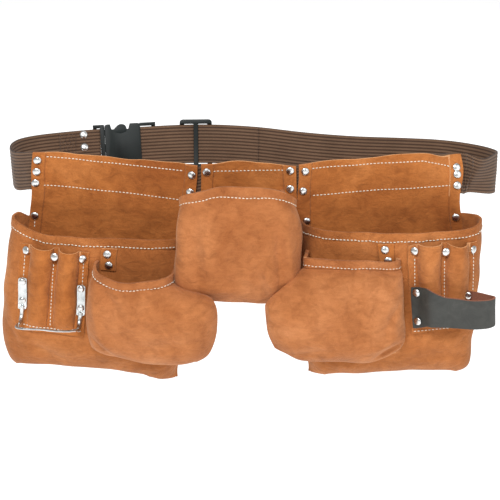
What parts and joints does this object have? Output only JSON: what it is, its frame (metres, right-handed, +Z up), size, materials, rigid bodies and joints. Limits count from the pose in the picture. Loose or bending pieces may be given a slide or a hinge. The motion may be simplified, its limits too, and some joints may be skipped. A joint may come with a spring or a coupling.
{
  "type": "carpenter nail apron",
  "caption": "Suede nail apron on a buckled woven belt, with bag pockets, tool sleeves, a steel hammer bracket and a leather hammer loop.",
  "frame": {"origin": "middle of the belt's loop, at the height of the middle of the webbing, where the wearer's waist is", "axes": "+X along the apron, to the wearer's left; -Y to the front; +Z up"},
  "size_m": [0.6337, 0.2643, 0.2971],
  "materials": {
    "suede": "matt napped suede, tan",
    "webbing": "ribbed woven webbing, brown",
    "plastic": "satin moulded plastic, near black",
    "nickel": "bright plated rivets",
    "steel": "bright plated steel rod",
    "black_leather": "firm black leather with a brown cut edge"
  },
  "bodies": {
    "root": {"left_back_panel": "suede", "left_main_pocket": "suede", "left_small_pouch": "suede", "left_tool_sleeve": "suede", "left_pouch_tab": "suede", "rivet_left_outer_1": "nickel", "rivet_left_outer_2": "nickel", "rivet_left_outer_3": "nickel", "rivet_left_inner_1": "nickel", "rivet_left_inner_2": "nickel", "rivet_left_mouth": "nickel", "rivet_left_sleeve_1": "nickel", "rivet_left_sleeve_2": "nickel", "rivet_left_sleeve_3": "nickel", "rivet_left_tab_1": "nickel", "rivet_left_tab_2": "nickel", "hammer_bracket": "steel", "rivet_bracket_left_1": "nickel", "rivet_bracket_left_2": "nickel", "rivet_bracket_right_1": "nickel", "rivet_bracket_right_2": "nickel", "centre_panel": "suede", "centre_pouch": "suede", "rivet_centre_left_1": "nickel", "rivet_centre_right_1": "nickel", "rivet_centre_right_2": "nickel", "right_back_panel": "suede", "right_main_pocket": "suede", "right_small_pouch": "suede", "right_tool_sleeve": "suede", "right_pouch_tab": "suede", "rivet_right_inner_1": "nickel", "rivet_right_inner_2": "nickel", "rivet_right_outer_1": "nickel", "rivet_right_outer_2": "nickel", "rivet_right_outer_3": "nickel", "rivet_right_mouth_inner": "nickel", "rivet_right_mouth_outer": "nickel", "rivet_right_sleeve_1": "nickel", "rivet_right_sleeve_2": "nickel", "rivet_right_sleeve_3": "nickel", "rivet_right_tab_1": "nickel", "rivet_right_tab_2": "nickel", "hammer_loop": "black_leather", "rivet_loop_1": "nickel", "rivet_loop_2": "nickel", "rivet_loop_3": "nickel", "rivet_loop_4": "nickel", "belt_webbing": "webbing", "belt_tail": "webbing", "buckle_female": "plastic", "buckle_male": "plastic", "strap_adjuster": "plastic", "rivet_buckle_1": "nickel", "rivet_buckle_2": "nickel"}
  },
  "joints": []
}
